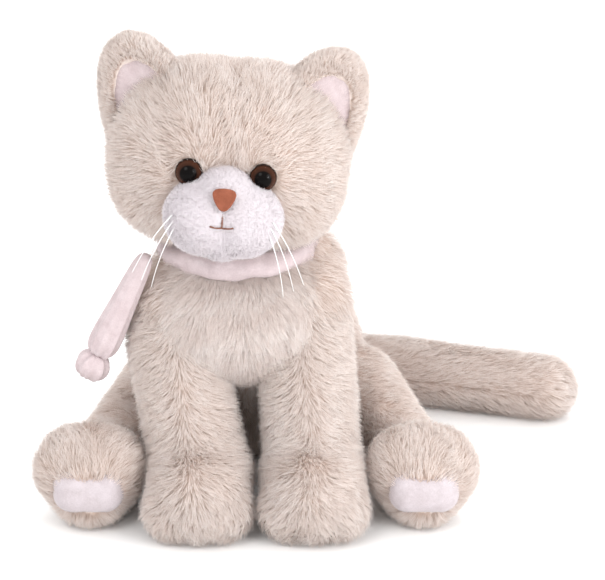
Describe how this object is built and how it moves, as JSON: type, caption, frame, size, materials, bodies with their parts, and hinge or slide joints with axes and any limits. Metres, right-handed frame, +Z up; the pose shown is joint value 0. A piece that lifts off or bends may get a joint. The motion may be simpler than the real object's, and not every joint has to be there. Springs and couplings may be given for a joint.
{
  "type": "plush cat",
  "caption": "Seated long-pile plush cat with a soft turning head, swinging legs and tail, and a velour scarf with a knotted hanging end.",
  "frame": {"origin": "the middle of the flat face that the rump rests on, at floor level", "axes": "+Z up, -Y towards the front of the cat, +X towards the cat's own left side"},
  "size_m": [0.2616, 0.2031, 0.2223],
  "materials": {
    "cream_plush": "matte",
    "chest_plush": "matte",
    "muzzle_plush": "matte",
    "label_satin": "satin",
    "fibre_fill": "matte",
    "pellet_bag_cloth": "matte",
    "washer_plastic": "matte",
    "eye_plastic": "gloss",
    "nose_flock": "matte",
    "mouth_thread": "matte",
    "whisker_thread": "satin",
    "ear_velour": "matte",
    "pad_velour": "matte",
    "scarf_velour": "matte"
  },
  "bodies": {
    "torso": {"body_cover": "cream_plush", "body_stuffing": "fibre_fill", "seat_pellet_bag": "pellet_bag_cloth", "chest_panel": "chest_plush", "care_label": "label_satin", "scarf_band": "scarf_velour"},
    "neck": {"neck_stuffing": "fibre_fill"},
    "head": {"head_cover": "cream_plush", "head_stuffing": "fibre_fill", "muzzle_cover": "muzzle_plush", "muzzle_stuffing": "fibre_fill", "eye_left": "eye_plastic", "eye_right": "eye_plastic", "eye_washer_left": "washer_plastic", "eye_washer_right": "washer_plastic", "nose": "nose_flock", "nose_washer": "washer_plastic", "mouth_stitching": "mouth_thread", "whiskers_left": "whisker_thread", "whiskers_right": "whisker_thread"},
    "ear_left": {"ear_cover_left": "cream_plush", "ear_lining_left": "ear_velour"},
    "ear_right": {"ear_cover_right": "cream_plush", "ear_lining_right": "ear_velour"},
    "front_leg_left": {"front_leg_cover_left": "cream_plush", "front_leg_stuffing_left": "fibre_fill"},
    "front_leg_right": {"front_leg_cover_right": "cream_plush", "front_leg_stuffing_right": "fibre_fill"},
    "hind_leg_left": {"hind_leg_cover_left": "cream_plush", "hind_leg_stuffing_left": "fibre_fill", "paw_pad_left": "pad_velour"},
    "hind_leg_right": {"hind_leg_cover_right": "cream_plush", "hind_leg_stuffing_right": "fibre_fill", "paw_pad_right": "pad_velour"},
    "tail": {"tail_cover": "cream_plush", "tail_stuffing": "fibre_fill"},
    "scarf_end": {"scarf_end": "scarf_velour", "scarf_knot": "scarf_velour", "scarf_tip": "scarf_velour"}
  },
  "joints": [
    {"name": "head_turn", "type": "hinge", "parent": "torso", "child": "neck", "pos_m": [-0.009, -0.051, 0.122], "axis": [0, 0, 1], "range_deg": [-40, 40], "stiffness_Nm_per_rad": 0.02},
    {"name": "head_nod", "type": "hinge", "parent": "neck", "child": "head", "pos_m": [-0.009, -0.051, 0.122], "axis": [1, 0, 0], "range_deg": [-12, 4], "stiffness_Nm_per_rad": 1},
    {"name": "ear_left_bend", "type": "hinge", "parent": "head", "child": "ear_left", "pos_m": [0.02423, -0.065, 0.1802], "axis": [0.8603, 0.2756, -0.4289], "range_deg": [-12, 12], "stiffness_Nm_per_rad": 0.03},
    {"name": "ear_right_bend", "type": "hinge", "parent": "head", "child": "ear_right", "pos_m": [-0.04556, -0.065, 0.18569], "axis": [0.9168, -0.2756, 0.2891], "range_deg": [-12, 12], "stiffness_Nm_per_rad": 0.03},
    {"name": "front_leg_left_swing", "type": "hinge", "parent": "torso", "child": "front_leg_left", "pos_m": [0.022, -0.069, 0.08], "axis": [-1, 0, 0], "range_deg": [0, 45]},
    {"name": "front_leg_right_swing", "type": "hinge", "parent": "torso", "child": "front_leg_right", "pos_m": [-0.038, -0.069, 0.08], "axis": [-1, 0, 0], "range_deg": [0, 45]},
    {"name": "hind_leg_left_splay", "type": "hinge", "parent": "torso", "child": "hind_leg_left", "pos_m": [0.046, -0.015, 0.031], "axis": [0, 0, 1], "range_deg": [0, 25]},
    {"name": "hind_leg_right_splay", "type": "hinge", "parent": "torso", "child": "hind_leg_right", "pos_m": [-0.046, -0.015, 0.031], "axis": [0, 0, -1], "range_deg": [0, 25]},
    {"name": "tail_swing", "type": "hinge", "parent": "torso", "child": "tail", "pos_m": [0, 0.06018, 0.016], "axis": [0, 0, 1], "range_deg": [0, 190]},
    {"name": "scarf_end_swing", "type": "hinge", "parent": "torso", "child": "scarf_end", "pos_m": [-0.05, -0.079, 0.1215], "axis": [0, 1, 0], "range_deg": [0, 60]}
  ]
}
